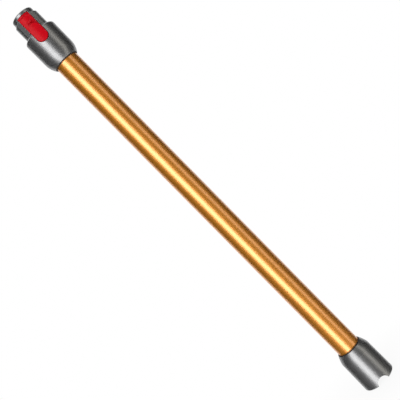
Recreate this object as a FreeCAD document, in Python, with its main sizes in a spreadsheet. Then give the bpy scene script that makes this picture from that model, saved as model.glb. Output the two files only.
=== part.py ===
import FreeCAD, Part

import math
import os
from types import SimpleNamespace

import Sketcher
from FreeCAD import Placement, Rotation, Vector

# A quick-release vacuum wand that stands on its socket: +Z runs up the tube, the origin is the
# centre of the socket's rim, and the release button and the thumb notch face -Y.

# Driving sizes, in millimetres and degrees
SIZES = dict(
    # Lengths along the wand
    lower_collar_length=62.3,
    bare_tube_length=571.2,
    upper_collar_length=56.0,
    spigot_length=33.0,
    # Tube and airway
    tube_radius=18.0,
    tube_wall=1.1,
    upper_tube_grip=26.5,
    airway_radius=15.0,
    plug_gap=0.2,
    plug_end_gap=0.3,
    gasket_thickness=1.0,
    gasket_overhang=0.6,
    # Rivets that hold the tube on its two plugs
    rivet_radius=1.9,
    rivet_head_radius=3.1,
    rivet_head_height=1.1,
    rivet_end_inset=0.3,
    rivet_gap=0.05,
    # Collar ends round the tube
    collar_end_gap=0.9,
    collar_ring_depth=2.5,
    collar_ring_stand=1.0,
    collar_ring_flange=0.7,
    ring_gap=0.05,
    collar_lip_height=3.3,
    # Lower collar
    rim_radius=25.5,
    rim_round=2.0,
    lower_bevel_radius=24.8,
    lower_bevel_length=12.5,
    lower_bevel_curve=45.0,
    lower_end_wall=1.4,
    # Socket
    socket_radius=20.0,
    socket_depth=25.1,
    socket_lead_in=0.8,
    socket_wall=2.4,
    socket_floor=35.0,
    tube_seat_rise=5.0,
    nose_bore_radius=17.6,
    rim_flange_width=0.8,
    rim_flange_height=1.5,
    relief_bottom=28.5,
    relief_radius=19.7,
    relief_flange=1.4,
    fit_gap=0.1,
    bead_height=0.4,
    bead_length=1.2,
    face_seal_height=2.3,
    face_seal_width=1.9,
    face_seal_gap=0.3,
    # Thumb notch and catch window
    notch_radius=9.7,
    notch_drop=0.5,
    window_width=10.0,
    window_gap=0.4,
    # Upper collar
    upper_collar_radius=25.7,
    upper_bevel_radius=25.4,
    upper_bevel_length=14.0,
    upper_bevel_curve=30.0,
    upper_end_wall=1.7,
    upper_collar_wall=2.7,
    shoulder_round=3.2,
    shoulder_round_width=2.4,
    shoulder_round_drop=5.3,
    shoulder_lip_width=0.5,
    shoulder_lip_drop=2.9,
    # Spigot
    spigot_radius=19.6,
    shoulder_cone_rise=0.5,
    shoulder_cone_slope=0.74,
    nose_radius=17.3,
    nose_length=7.6,
    nose_round=2.0,
    seat_flange_width=1.5,
    seat_flange_height=2.4,
    barrel_radius=17.4,
    collar_flange_height=5.6,
    flat_inner_x=9.3,
    flat_inner_y=16.13,
    flat_outer_x=15.6,
    flat_outer_y=11.93,
    roof_level=11.7,
    roof_thickness=1.3,
    roof_overlap=0.2,
    # Release button
    button_half_width=9.1,
    button_side_gap=0.6,
    button_rear_gap=1.2,
    button_tip_gap=0.5,
    button_top_radius=25.2,
    button_rear_drop=21.5,
    button_rear_depth=6.5,
    pad_front_depth=9.0,
    pad_front_drop=1.3,
    pad_wall=1.8,
    pad_roof=2.6,
    pad_edge_round=0.8,
    tongue_radius=19.3,
    tongue_tip_drop=5.4,
    tongue_wall=0.8,
    tongue_skin_level=16.75,
    skirt_level=15.2,
    skirt_rear_level=18.2,
    skirt_bend=10.5,
    tongue_nose_inset=0.5,
    tongue_nose_gap=0.5,
    tooth_width=7.0,
    tooth_start=11.2,
    tooth_crest=1.3,
    tooth_length=5.0,
    tooth_radius=21.0,
    stop_tab_width=8.0,
    stop_tab_level=22.3,
    stop_tab_thickness=1.9,
    stop_tab_reach=2.5,
    slot_rear=25.5,
    # Hinge of the button
    pivot_level=14.9,
    pivot_drop=12.0,
    pin_radius=0.8,
    pin_gap=0.05,
    hub_gap=0.15,
    hub_radius=1.6,
    hub_half_width=5.3,
    lug_gap=0.3,
    lug_width=2.4,
    lug_radius=1.6,
    # Button spring
    spring_drop=8.5,
    spring_radius=2.95,
    wire_radius=0.3,
    spring_turns=5.0,
    spring_seat_gap=0.05,
    boss_radius=2.2,
    boss_height=2.0,
    # Wires and duct
    lead_spacing=4.0,
    lead_radius=1.1,
    lead_level=12.9,
    lead_bend=7.0,
    lead_bend_gap=1.0,
    duct_half_width=6.3,
    duct_wall=0.9,
    duct_level=10.9,
    duct_gap=0.1,
    # Contacts
    contact_level=9.6,
    contact_width=2.8,
    contact_gap=0.1,
    barrel_thickness=0.28,
    barrel_length=4.0,
    barrel_gap=0.02,
    carrier_half_width=8.0,
    carrier_top_gap=0.05,
    carrier_bottom=7.4,
    carrier_floor=0.7,
    carrier_tip_inset=1.7,
    carrier_face=1.3,
    carrier_length=69.5,
    fork_back=19.8,
    fork_base=1.2,
    fork_base_half_width=1.25,
    prong_gap=0.45,
    prong_thickness=0.5,
    prong_end_inset=2.3,
    blade_thickness=0.8,
    blade_reach=8.0,
    blade_point=0.8,
    socket_block_height=7.5,
    blade_tail=1.0,
    # Small screws of the two contact carriers
    screw_radius=1.0,
    screw_head_radius=1.8,
    screw_head_height=1.1,
    screw_length=4.2,
    screw_gap=0.05,
    front_screw_drop=17.5,
    rear_screw_drop=49.5,
    socket_screw_height=1.7,
)

LEFT, RIGHT = 1, -1
SIDES = {"left": -1, "right": 1}
VOLUME_TOLERANCE = 0.01

doc = FreeCAD.newDocument("quick_release_wand")
pieces = []


class Size:
    """A number together with the spreadsheet expression that gives it."""

    def __init__(self, value, text):
        self.value = value
        self.text = text

    @staticmethod
    def of(thing):
        return thing if isinstance(thing, Size) else Size(float(thing), f"({float(thing)})")

    def join(self, mark, other, value):
        return Size(value, f"({self.text} {mark} {other.text})")

    def __add__(self, other):
        other = Size.of(other)
        return self.join("+", other, self.value + other.value)

    def __sub__(self, other):
        other = Size.of(other)
        return self.join("-", other, self.value - other.value)

    def __mul__(self, other):
        other = Size.of(other)
        return self.join("*", other, self.value * other.value)

    def __truediv__(self, other):
        other = Size.of(other)
        return self.join("/", other, self.value / other.value)

    def __radd__(self, other):
        return Size.of(other) + self

    def __rsub__(self, other):
        return Size.of(other) - self

    def __rmul__(self, other):
        return Size.of(other) * self

    def __neg__(self):
        return Size(-self.value, f"(-1 * {self.text})")

    def root(self):
        return Size(math.sqrt(self.value), f"sqrt({self.text})")

    def or_higher(self, other):
        return Size(max(self.value, other.value), f"max({self.text}; {other.text})")

    def or_lower(self, other):
        return Size(min(self.value, other.value), f"min({self.text}; {other.text})")


def make_sheet():
    """Writes every driving size into one spreadsheet and returns them by name."""
    sheet = doc.addObject("Spreadsheet::Sheet", "Sizes")
    for row, (name, value) in enumerate(SIZES.items(), start=1):
        sheet.set(f"A{row}", name)
        sheet.set(f"B{row}", str(value))
        sheet.setAlias(f"B{row}", name)
    doc.recompute()
    return SimpleNamespace(**{name: Size(value, f"Sizes.{name}") for name, value in SIZES.items()})


size = make_sheet()
ZERO = Size.of(0)


def chord(radius, reach):
    """Half the chord that a circle has at a distance from its centre."""
    return (radius * radius - reach * reach).root()


# Levels and radii that several pieces share, worked out from the driving sizes
lower_end = size.lower_collar_length
upper_end = lower_end + size.bare_tube_length
shoulder = upper_end + size.upper_collar_length
tip = shoulder + size.spigot_length
lower_seat = size.socket_floor + size.tube_seat_rise
tube_bottom = lower_seat + size.gasket_thickness
tube_top = upper_end + size.upper_tube_grip
upper_seat = tube_top + size.gasket_thickness
tube_bore = size.tube_radius - size.tube_wall
plug_radius = tube_bore - size.plug_gap
lower_plug_end = lower_end - size.collar_lip_height
upper_plug_end = upper_end + size.collar_lip_height
collar_end_bore = size.tube_radius + size.collar_end_gap
lower_end_radius = collar_end_bore + size.lower_end_wall
upper_end_radius = collar_end_bore + size.upper_end_wall
seat_flange_radius = size.tube_radius + size.seat_flange_width
liner_radius = size.socket_radius + size.socket_wall
lower_collar_bore = liner_radius + size.fit_gap
rim_flange_radius = liner_radius + size.rim_flange_width
upper_collar_bore = size.upper_collar_radius - size.upper_collar_wall
collar_flange_radius = upper_collar_bore - size.fit_gap
shoulder_lip_bore = upper_collar_bore - size.shoulder_lip_width
slot_floor = size.roof_level + size.roof_thickness
slot_half_width = size.button_half_width + size.button_side_gap
button_rear = shoulder - size.button_rear_drop
nose_start = tip - size.nose_length
step_start = nose_start - (size.spigot_radius - size.nose_radius)
button_tip = tip - size.tongue_tip_drop
pivot_z = tip - size.pivot_drop
carrier_top = size.roof_level - size.carrier_top_gap
carrier_end = tip - size.carrier_tip_inset
carrier_start = carrier_end - size.carrier_length
fork_start = tip - size.fork_back
blade_top = size.socket_floor + size.socket_block_height + size.blade_tail
lower_rivet_z = (tube_bottom + lower_plug_end) / 2
upper_rivet_z = (tube_top + upper_plug_end) / 2
lead_shift = size.lead_level - size.contact_level
lead_bend_reach = (lead_shift * (4 * size.lead_bend - lead_shift)).root()
lower_bend_start = blade_top + size.barrel_length + size.lead_bend_gap
lower_bend_end = lower_bend_start + lead_bend_reach
upper_bend_end = carrier_start - size.lead_bend_gap
upper_bend_start = upper_bend_end - lead_bend_reach
duct_start = (lower_plug_end + size.plug_end_gap).or_higher(lower_bend_end + size.lead_bend_gap)
duct_end = (upper_plug_end - size.plug_end_gap).or_lower(upper_bend_start - size.lead_bend_gap)
full_width = 2 * size.upper_collar_radius


class Corner:
    """A corner of an outline. With a radius, the side that leaves it is an arc turning to one hand."""

    def __init__(self, across, along, radius=None, turn=LEFT):
        self.across = Size.of(across)
        self.along = Size.of(along)
        self.radius = radius
        self.turn = turn

    def point(self):
        return Vector(self.across.value, self.along.value, 0)

    def side_to(self, other):
        start, end = self.point(), other.point()
        if self.radius is None:
            return Part.LineSegment(start, end)
        run = end - start
        rise = math.sqrt(self.radius.value**2 - run.Length**2 / 4)
        normal = Vector(-run.y, run.x, 0).normalize() * (rise * self.turn)
        centre = (start + end) / 2 + normal
        first, last = (start, end) if self.turn == LEFT else (end, start)
        angles = [math.atan2(spot.y - centre.y, spot.x - centre.x) for spot in (first, last)]
        return Part.ArcOfCircle(Part.Circle(centre, Vector(0, 0, 1), self.radius.value), *angles)

    def ends(self):
        return (2, 1) if self.radius is not None and self.turn == RIGHT else (1, 2)


def tie(sketch, kind, where, amount):
    """Adds one dimension to a sketch and binds it to the spreadsheet."""
    index = sketch.addConstraint(Sketcher.Constraint(kind, *where, amount.value))
    sketch.setExpression(f"Constraints[{index}]", amount.text)


def draw_outline(sketch, corners):
    first = sketch.GeometryCount
    following = corners[1:] + corners[:1]
    for here, there in zip(corners, following):
        sketch.addGeometry(here.side_to(there), False)
    for index, here in enumerate(corners):
        before = (index - 1) % len(corners)
        spot = (first + index, here.ends()[0])
        sketch.addConstraint(
            Sketcher.Constraint("Coincident", first + before, corners[before].ends()[1], *spot)
        )
        tie(sketch, "DistanceX", (-1, 1, *spot), here.across)
        tie(sketch, "DistanceY", (-1, 1, *spot), here.along)
        if here.radius is not None:
            tie(sketch, "Radius", (first + index,), here.radius)


class Ring:
    """A full circle in a sketch."""

    def __init__(self, across, along, radius):
        self.across = Size.of(across)
        self.along = Size.of(along)
        self.radius = radius

    def draw(self, sketch):
        centre = Vector(self.across.value, self.along.value, 0)
        circle = Part.Circle(centre, Vector(0, 0, 1), self.radius.value)
        index = sketch.addGeometry(circle, False)
        tie(sketch, "DistanceX", (-1, 1, index, 3), self.across)
        tie(sketch, "DistanceY", (-1, 1, index, 3), self.along)
        tie(sketch, "Radius", (index,), self.radius)


def box_outline(left, right, bottom, top):
    return [Corner(left, bottom), Corner(right, bottom), Corner(right, top), Corner(left, top)]


class Piece:
    """One moulded, turned or stamped piece, built up feature by feature in a body of its own."""

    def __init__(self, name):
        self.body = doc.addObject("PartDesign::Body", name)
        self.body.Label = name
        pieces.append(self.body)

    def sketch(self, plane, shapes, lift=ZERO):
        """Draws on XY (normal +Z), XZ (normal -Y) or YZ (normal +X), lifted along the normal."""
        sketch = self.body.newObject("Sketcher::SketchObject", f"{self.body.Label}_sketch")
        origin_plane = next(f for f in self.body.Origin.OriginFeatures if f.Role == f"{plane}_Plane")
        sketch.AttachmentSupport = [(origin_plane, "")]
        sketch.MapMode = "FlatFace"
        sketch.setExpression("AttachmentOffset.Base.z", lift.text)
        for shape in shapes:
            if isinstance(shape, Ring):
                shape.draw(sketch)
            else:
                draw_outline(sketch, shape)
        return sketch

    def feature(self, kind, sketch):
        feature = self.body.newObject(f"PartDesign::{kind}", f"{self.body.Label}_{kind.lower()}")
        feature.Profile = sketch
        return feature

    def turn(self, *shapes, kind="Revolution"):
        """Turns outlines of (radius, height) about the wand's axis."""
        sketch = self.sketch("XZ", shapes)
        feature = self.feature(kind, sketch)
        feature.ReferenceAxis = (sketch, ["V_Axis"])
        feature.Angle = 360
        return self.settle(feature, cuts=kind == "Groove")

    def groove(self, *shapes):
        return self.turn(*shapes, kind="Groove")

    def pad(self, plane, shapes, length, lift=ZERO, symmetric=False):
        feature = self.feature("Pad", self.sketch(plane, shapes, lift))
        feature.SideType = "Symmetric" if symmetric else "One side"
        feature.setExpression("Length", length.text)
        return self.settle(feature, cuts=False)

    def pocket(self, plane, shapes, length, lift=ZERO, symmetric=False):
        """Cuts away from the lifted sketch along the plane's normal, or to both sides of it."""
        feature = self.feature("Pocket", self.sketch(plane, shapes, lift))
        feature.SideType = "Symmetric" if symmetric else "One side"
        feature.Reversed = not symmetric
        feature.setExpression("Length", length.text)
        return self.settle(feature, cuts=True)

    def settle(self, feature, cuts):
        """Recomputes, and stops if a cut removed nothing or a new stretch added nothing."""
        base = feature.BaseFeature
        before = base.Shape.Volume if base else 0.0
        doc.recompute()
        change = feature.Shape.Volume - before
        if change == 0 or (change < 0) != cuts:
            raise RuntimeError(f"{feature.Name} changes the volume by {change}")
        return feature

    def round_edges(self, feature, radius, wanted):
        """Rounds the edges that a test picks by their two ends."""
        names = [
            f"Edge{number}"
            for number, edge in enumerate(feature.Shape.Edges, start=1)
            if all(wanted(vertex.Point) for vertex in edge.Vertexes)
        ]
        fillet = self.body.newObject("PartDesign::Fillet", f"{self.body.Label}_fillet")
        fillet.Base = (feature, names)
        fillet.setExpression("Radius", radius.text)
        return self.settle(fillet, cuts=True)


def ring_piece(name, inner, outer, bottom, top):
    Piece(name).turn(box_outline(inner, outer, bottom, top))


def roof_outline(level, radius):
    """The segment between a flat roof under the button and the round wall above it."""
    reach = chord(radius, level)
    return [Corner(-reach, -level, radius), Corner(reach, -level)]


# Tube


def make_tube():
    tube = Piece("wand_tube")
    tube.turn(box_outline(tube_bore, size.tube_radius, tube_bottom, tube_top))
    hole = size.rivet_radius + size.rivet_gap
    rings = [Ring(0, lower_rivet_z, hole), Ring(0, upper_rivet_z, hole)]
    tube.pocket("YZ", rings, full_width, symmetric=True)


def make_rivets(name, level):
    """Two rivets whose heads lie on the tube and whose shanks pass through tube and plug."""
    shank_start = size.airway_radius + size.rivet_end_inset
    head_start = size.tube_radius + size.rivet_gap
    rivets = []
    for side, turn in (("left", -90), ("right", 90)):
        shank = doc.addObject("Part::Cylinder", f"{name}_{side}_shank")
        shank.setExpression("Radius", size.rivet_radius.text)
        shank.setExpression("Height", (head_start - shank_start + size.rivet_gap).text)
        shank.Placement.Rotation = Rotation(Vector(0, 1, 0), turn)
        shank.setExpression("Placement.Base.x", (SIDES[side] * shank_start).text)
        head = doc.addObject("Part::Cylinder", f"{name}_{side}_head")
        head.setExpression("Radius", size.rivet_head_radius.text)
        head.setExpression("Height", size.rivet_head_height.text)
        head.Placement.Rotation = Rotation(Vector(0, 1, 0), turn)
        head.setExpression("Placement.Base.x", (SIDES[side] * head_start).text)
        for stage in (shank, head):
            stage.setExpression("Placement.Base.z", level.text)
        rivet = doc.addObject("Part::Fuse", f"{name}_{side}")
        rivet.Base = shank
        rivet.Tool = head
        rivets.append(rivet)
    group = doc.addObject("Part::Compound", name)
    group.Label = name
    group.Links = rivets
    pieces.append(group)


# Socket end


def make_socket_body():
    socket = Piece("socket_body")
    cone = size.socket_radius - size.nose_bore_radius
    relief_top = lower_seat - size.relief_flange
    socket.turn(
        [
            Corner(size.socket_radius + size.socket_lead_in, 0),
            Corner(rim_flange_radius, 0),
            Corner(rim_flange_radius, size.rim_flange_height),
            Corner(liner_radius, size.rim_flange_height),
            Corner(liner_radius, size.relief_bottom),
            Corner(size.relief_radius, size.relief_bottom),
            Corner(size.relief_radius, relief_top),
            Corner(liner_radius, relief_top),
            Corner(liner_radius, lower_seat),
            Corner(plug_radius, lower_seat),
            Corner(plug_radius, lower_plug_end),
            Corner(size.airway_radius, lower_plug_end),
            Corner(size.airway_radius, size.socket_floor),
            Corner(size.nose_bore_radius, size.socket_floor),
            Corner(size.nose_bore_radius, size.socket_depth + cone),
            Corner(size.socket_radius, size.socket_depth),
            Corner(size.socket_radius, size.socket_lead_in),
        ]
    )
    saddle = [roof_outline(size.roof_level, size.airway_radius + size.roof_overlap)]
    socket.pad("XY", saddle, size.socket_block_height, lift=size.socket_floor)
    socket.pocket("XZ", [notch()], full_width)
    tooth_end = size.tooth_start + size.tooth_length
    half = size.window_width / 2
    window = box_outline(-half, half, size.tooth_start - size.window_gap, tooth_end + size.window_gap)
    socket.pocket("XZ", [window], size.rim_radius, lift=size.nose_bore_radius)
    hole = size.rivet_radius + size.rivet_gap
    socket.pocket("YZ", [Ring(0, lower_rivet_z, hole)], full_width, symmetric=True)
    screw = Ring(0, size.socket_floor + size.socket_screw_height, size.screw_radius + size.screw_gap)
    socket.pocket("XZ", [screw], size.rim_radius)


def notch():
    """The round thumb notch in the rim, a circle whose centre lies just below the rim."""
    return Ring(0, -size.notch_drop, size.notch_radius)


def make_lower_collar():
    collar = Piece("lower_collar")
    bevel_start = lower_end - size.lower_bevel_length
    flange_bore = rim_flange_radius + size.fit_gap
    flange_top = size.rim_flange_height + size.fit_gap
    bead = lower_seat + size.fit_gap
    collar.turn(
        [
            Corner(flange_bore, 0),
            Corner(size.rim_radius - size.rim_round, 0, size.rim_round),
            Corner(size.rim_radius, size.rim_round),
            Corner(size.lower_bevel_radius, bevel_start, size.lower_bevel_curve),
            Corner(lower_end_radius, lower_end),
            Corner(collar_end_bore, lower_end),
            Corner(collar_end_bore, lower_end - size.collar_lip_height),
            Corner(lower_collar_bore, bevel_start),
            Corner(lower_collar_bore, bead + size.bead_length),
            Corner(lower_collar_bore - size.bead_height, bead + size.bead_length / 2),
            Corner(lower_collar_bore, bead),
            Corner(lower_collar_bore, flange_top),
            Corner(flange_bore, flange_top),
        ]
    )
    collar.pocket("XZ", [notch()], full_width)


def make_socket_contacts():
    block = Piece("socket_contact_block")
    half = size.carrier_half_width
    block_top = size.socket_floor + size.socket_block_height
    height = carrier_top - size.carrier_bottom
    body = box_outline(-half, half, size.socket_floor, block_top)
    block.pad("XZ", [body], height, lift=size.carrier_bottom)
    slit_half = size.blade_thickness / 2 + size.contact_gap
    low = size.contact_level - size.contact_width / 2 - size.contact_gap
    slits = [
        box_outline(sign * size.lead_spacing - slit_half, sign * size.lead_spacing + slit_half,
                    size.socket_floor, block_top)
        for sign in SIDES.values()
    ]
    block.pocket("XZ", slits, size.contact_width + 2 * size.contact_gap, lift=low)
    screw = Ring(0, size.socket_floor + size.socket_screw_height, size.screw_radius + size.screw_gap)
    block.pocket("XZ", [screw], carrier_top - size.carrier_bottom - size.carrier_floor,
                 lift=size.carrier_bottom + size.carrier_floor)
    for side, sign in SIDES.items():
        make_blade(f"{side}_blade_contact", sign)


def make_blade(name, sign):
    """A flat blade through the carrier, with a crimped barrel round the wire's end."""
    blade = Piece(name)
    low = -(size.contact_level + size.contact_width / 2)
    high = -(size.contact_level - size.contact_width / 2)
    blade_tip = size.socket_floor - size.blade_reach
    outline = [
        Corner(low + size.blade_point, blade_tip),
        Corner(high - size.blade_point, blade_tip),
        Corner(high, blade_tip + size.blade_point),
        Corner(high, blade_top),
        Corner(low, blade_top),
        Corner(low, blade_tip + size.blade_point),
    ]
    start = sign * size.lead_spacing - size.blade_thickness / 2
    blade.pad("YZ", [outline], size.blade_thickness, lift=start)
    add_crimp(blade, sign, blade_top)


def add_crimp(contact, sign, bottom):
    inner = size.lead_radius + size.barrel_gap
    centre = (sign * size.lead_spacing, -size.contact_level)
    rings = [Ring(*centre, inner), Ring(*centre, inner + size.barrel_thickness)]
    contact.pad("XY", rings, size.barrel_length, lift=bottom)


def make_socket_screw():
    """The screw that holds the socket's contact carrier, driven inward from the relief."""
    head_level = size.relief_radius
    end_level = size.carrier_bottom + size.carrier_floor
    level = size.socket_floor + size.socket_screw_height
    make_screw_group("socket_block_screw", [level], head_level, end_level)


def make_screw_group(name, levels, head_level, end_level):
    """Screws along Y at the given heights, their heads standing on a face at head_level."""
    screws = []
    for index, level in enumerate(levels):
        shank = doc.addObject("Part::Cylinder", f"{name}_shank_{index}")
        shank.setExpression("Radius", size.screw_radius.text)
        shank.setExpression("Height", (head_level - end_level).text)
        shank.setExpression("Placement.Base.y", (-end_level).text)
        head = doc.addObject("Part::Cylinder", f"{name}_head_{index}")
        head.setExpression("Radius", size.screw_head_radius.text)
        head.setExpression("Height", size.screw_head_height.text)
        head.setExpression("Placement.Base.y", (-head_level).text)
        for stage in (shank, head):
            stage.Placement.Rotation = Rotation(Vector(1, 0, 0), 90)
            stage.setExpression("Placement.Base.z", level.text)
        screw = doc.addObject("Part::Fuse", f"{name}_{index}")
        screw.Base = shank
        screw.Tool = head
        screws.append(screw)
    group = doc.addObject("Part::Compound", name)
    group.Label = name
    group.Links = screws
    pieces.append(group)


# Spigot end


def make_spigot_body():
    spigot = Piece("spigot_body")
    flange_top = shoulder - size.shoulder_lip_drop - size.fit_gap
    flange_bottom = flange_top - size.collar_flange_height
    lip_radius = shoulder_lip_bore - size.fit_gap
    cone_top = shoulder + size.shoulder_cone_rise
    cone_bottom = cone_top - size.shoulder_cone_slope * (lip_radius - size.spigot_radius)
    spigot.turn(
        [
            Corner(size.airway_radius, upper_plug_end),
            Corner(plug_radius, upper_plug_end),
            Corner(plug_radius, upper_seat),
            Corner(seat_flange_radius, upper_seat),
            Corner(seat_flange_radius, upper_seat + size.seat_flange_height),
            Corner(size.barrel_radius, upper_seat + size.seat_flange_height),
            Corner(size.barrel_radius, flange_bottom),
            Corner(collar_flange_radius, flange_bottom),
            Corner(collar_flange_radius, flange_top),
            Corner(lip_radius, flange_top),
            Corner(lip_radius, cone_bottom),
            Corner(size.spigot_radius, cone_top),
            Corner(size.spigot_radius, step_start),
            Corner(size.nose_radius, nose_start),
            Corner(size.nose_radius, tip - size.nose_round, size.nose_round),
            Corner(size.nose_radius - size.nose_round, tip),
            Corner(size.airway_radius, tip),
        ]
    )
    roof_end = tip - size.nose_round
    roof = [roof_outline(size.roof_level, size.airway_radius + size.roof_overlap)]
    spigot.pad("XY", roof, roof_end - carrier_start, lift=carrier_start)
    slot = box_outline(-slot_half_width, slot_half_width, shoulder - size.slot_rear,
                       button_tip + size.button_tip_gap)
    spigot.pocket("XZ", [slot], size.upper_collar_radius, lift=slot_floor)
    flats = []
    for sign in SIDES.values():
        flats.append(
            [
                Corner(sign * size.flat_inner_x, -size.flat_inner_y),
                Corner(sign * size.flat_outer_x, -size.flat_outer_y),
                Corner(sign * size.flat_outer_x, -full_width),
                Corner(sign * size.flat_inner_x, -full_width),
            ]
        )
    spigot.pocket("XY", flats, size.spigot_length, lift=cone_top)
    for sign in SIDES.values():
        inner = size.hub_half_width + size.lug_gap
        start = inner if sign > 0 else -(inner + size.lug_width)
        lug = pivot_outline(size.lug_radius, slot_floor - size.roof_thickness / 2, away=1)
        spigot.pad("YZ", [lug], size.lug_width, lift=start)
    bore = Ring(-size.pivot_level, pivot_z, size.pin_radius + size.pin_gap)
    spigot.pocket("YZ", [bore], 2 * slot_half_width, symmetric=True)
    boss = Ring(0, shoulder - size.spring_drop, size.boss_radius)
    spigot.pad("XZ", [boss], size.boss_height, lift=slot_floor)
    hole = size.rivet_radius + size.rivet_gap
    spigot.pocket("YZ", [Ring(0, upper_rivet_z, hole)], full_width, symmetric=True)
    holes = [Ring(0, level, size.screw_radius + size.screw_gap) for level in carrier_screw_levels()]
    spigot.pocket("XZ", holes, size.upper_collar_radius)


def carrier_screw_levels():
    return [tip - size.front_screw_drop, tip - size.rear_screw_drop]


def pivot_outline(radius, base, away):
    """A lug round the pivot that stands on a base level, rounded away from it, in (y, height)."""
    crest = size.pivot_level + away * radius
    turn = LEFT if away > 0 else RIGHT
    return [
        Corner(-base, pivot_z + radius),
        Corner(-size.pivot_level, pivot_z + radius, radius, turn),
        Corner(-crest, pivot_z, radius, turn),
        Corner(-size.pivot_level, pivot_z - radius),
        Corner(-base, pivot_z - radius),
    ]


def make_upper_collar():
    collar = Piece("upper_collar")
    bevel_end = upper_end + size.upper_bevel_length
    lip_bottom = shoulder - size.shoulder_lip_drop
    edge_radius = size.upper_collar_radius - size.shoulder_round_width
    cone_top = shoulder + size.shoulder_cone_rise
    edge_z = cone_top - size.shoulder_cone_slope * (edge_radius - size.spigot_radius)
    lip_z = cone_top - size.shoulder_cone_slope * (shoulder_lip_bore - size.spigot_radius)
    bead = lip_bottom - size.fit_gap - size.collar_flange_height - size.fit_gap
    collar.turn(
        [
            Corner(collar_end_bore, upper_end),
            Corner(upper_end_radius, upper_end, size.upper_bevel_curve),
            Corner(size.upper_bevel_radius, bevel_end),
            Corner(size.upper_collar_radius, shoulder - size.shoulder_round_drop, size.shoulder_round),
            Corner(edge_radius, edge_z),
            Corner(shoulder_lip_bore, lip_z),
            Corner(shoulder_lip_bore, lip_bottom),
            Corner(upper_collar_bore, lip_bottom),
            Corner(upper_collar_bore, bead),
            Corner(upper_collar_bore - size.bead_height, bead - size.bead_length / 2),
            Corner(upper_collar_bore, bead - size.bead_length),
            Corner(upper_collar_bore, bevel_end),
            Corner(collar_end_bore, upper_end + size.collar_lip_height),
        ]
    )
    collar.pocket("XZ", [button_opening()], full_width)


def end_arc_radius(half_width, depth):
    """The circle through a rounded end of the given half width and depth."""
    return (half_width * half_width + depth * depth) / (2 * depth)


def button_opening():
    """The opening in the collar: straight sides, open at the shoulder and rounded at the rear."""
    rear = button_rear - size.button_rear_gap
    side_start = button_rear + size.button_rear_depth
    radius = end_arc_radius(slot_half_width, size.button_rear_depth + size.button_rear_gap)
    return [
        Corner(-slot_half_width, side_start, radius),
        Corner(0, rear, radius),
        Corner(slot_half_width, side_start),
        Corner(slot_half_width, tip),
        Corner(-slot_half_width, tip),
    ]


def thumb_outline(inset):
    """The thumb pad seen from the front: straight sides between two rounded ends."""
    half = size.button_half_width - inset
    side_start = button_rear + size.button_rear_depth
    side_end = shoulder - size.pad_front_drop
    rear = end_arc_radius(half, size.button_rear_depth - inset)
    front = end_arc_radius(half, size.pad_front_depth - inset)
    return [
        Corner(-half, side_start, rear),
        Corner(0, button_rear + inset, rear),
        Corner(half, side_start),
        Corner(half, side_end, front),
        Corner(0, side_end + size.pad_front_depth - inset, front),
        Corner(-half, side_end),
    ]


def make_button():
    button = Piece("release_button")
    half = size.button_half_width
    outside = size.upper_collar_radius + size.pad_roof
    pad_side_end = shoulder - size.pad_front_drop
    tongue = box_outline(-half, half, pad_side_end, button_tip)
    button.pad("XZ", [tongue], outside - size.skirt_level, lift=size.skirt_level)
    button.groove(box_outline(size.tongue_radius, full_width, upper_end, tip))
    button.pad("XZ", [thumb_outline(ZERO)], outside - size.skirt_level, lift=size.skirt_level)
    top = button.groove(box_outline(size.button_top_radius, full_width, upper_end, tip))
    limit = (size.button_top_radius.value + size.tongue_radius.value) / 2
    button.round_edges(top, size.pad_edge_round, lambda spot: math.hypot(spot.x, spot.y) > limit)
    skirt = [
        Corner(-size.skirt_level + size.pad_roof, shoulder + size.skirt_bend),
        Corner(-size.skirt_level, shoulder + size.skirt_bend),
        Corner(-size.skirt_rear_level, button_rear),
        Corner(-size.skirt_level + size.pad_roof, button_rear),
    ]
    button.pocket("YZ", [skirt], full_width, symmetric=True)
    inner_level = size.button_top_radius - size.pad_roof
    button.pocket("XZ", [thumb_outline(size.pad_wall)], inner_level)
    inner_half = half - size.tongue_wall
    hollow_end = pivot_z + size.lug_radius + size.lug_gap
    hollow = box_outline(-inner_half, inner_half, shoulder + size.pad_front_depth, hollow_end)
    button.pocket("XZ", [hollow], size.tongue_skin_level)
    hub = pivot_outline(size.hub_radius, size.tongue_skin_level + size.tongue_wall, away=-1)
    button.pad("YZ", [hub], 2 * size.hub_half_width, symmetric=True)
    bore = Ring(-size.pivot_level, pivot_z, size.pin_radius + size.hub_gap)
    button.pocket("YZ", [bore], full_width, symmetric=True)
    tooth_start = shoulder + size.tooth_start
    tooth_base = size.tongue_radius - size.tongue_wall
    tooth = [
        Corner(-tooth_base, tooth_start),
        Corner(-tooth_base, tooth_start + size.tooth_length),
        Corner(-size.tooth_radius, tooth_start + size.tooth_crest),
        Corner(-size.tooth_radius, tooth_start),
    ]
    button.pad("YZ", [tooth], size.tooth_width, symmetric=True)
    tab_half = size.stop_tab_width / 2
    tab = box_outline(-tab_half, tab_half, button_rear - size.stop_tab_reach,
                      button_rear + size.pad_wall)
    button.pad("XZ", [tab], size.stop_tab_thickness, lift=size.stop_tab_level - size.stop_tab_thickness)
    boss = Ring(0, shoulder - size.spring_drop, size.boss_radius)
    button.pad("XZ", [boss], size.boss_height + size.tongue_wall, lift=inner_level - size.boss_height)
    nose_base = slot_floor + size.tongue_nose_gap
    nose = box_outline(-half, half, hollow_end, button_tip)
    button.pad("XZ", [nose], size.tongue_radius - nose_base, lift=nose_base)
    nose_top = size.nose_radius - size.tongue_nose_inset
    button.groove(
        [
            Corner(size.tongue_radius, hollow_end),
            Corner(size.tongue_radius, step_start),
            Corner(nose_top, nose_start),
            Corner(nose_top, tip),
            Corner(full_width, tip),
            Corner(full_width, hollow_end),
        ]
    )


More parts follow.
